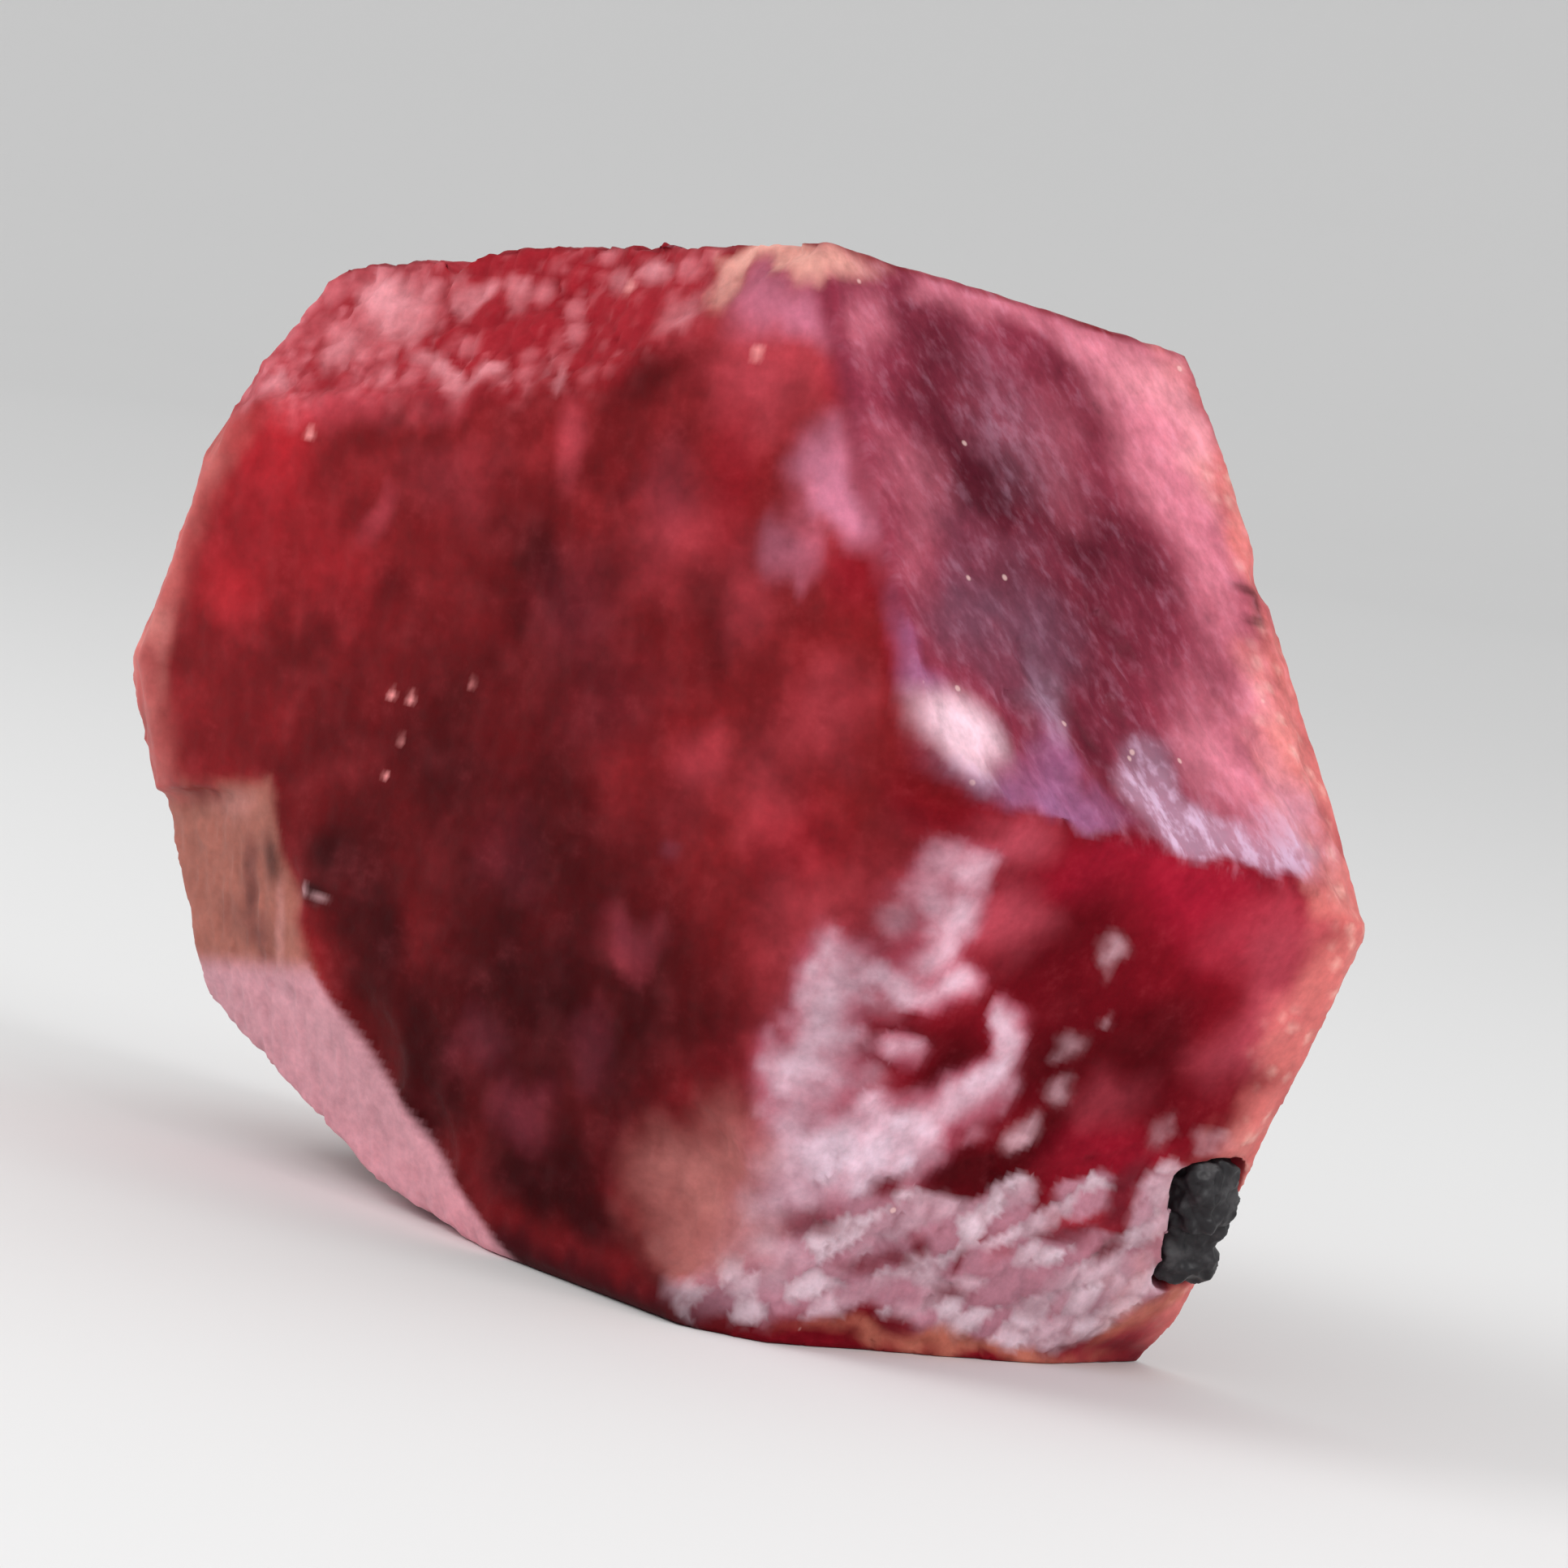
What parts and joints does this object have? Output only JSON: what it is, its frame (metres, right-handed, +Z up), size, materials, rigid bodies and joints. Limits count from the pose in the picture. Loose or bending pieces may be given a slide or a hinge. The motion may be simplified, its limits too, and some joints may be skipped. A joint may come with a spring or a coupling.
{
  "type": "mineral crystal",
  "caption": "Red beryl crystal: a short, cloudy crimson six-sided prism on one side face, with pale broken edges and a small black bixbyite grain.",
  "frame": {"origin": "centre of the underside of the bounding box, on the plane the crystal rests on", "axes": "+Z up, away from the flat side face it rests on; +Y along the crystal's c axis, from the big front basal face towards the back one; +X along the front face, towards the corner between the two right side faces"},
  "size_m": [0.0144, 0.0054, 0.0094],
  "materials": {
    "red_beryl": "satin",
    "bixbyite": "satin"
  },
  "bodies": {
    "root": {"beryl_crystal": "red_beryl", "bixbyite_grain": "bixbyite"}
  },
  "joints": []
}
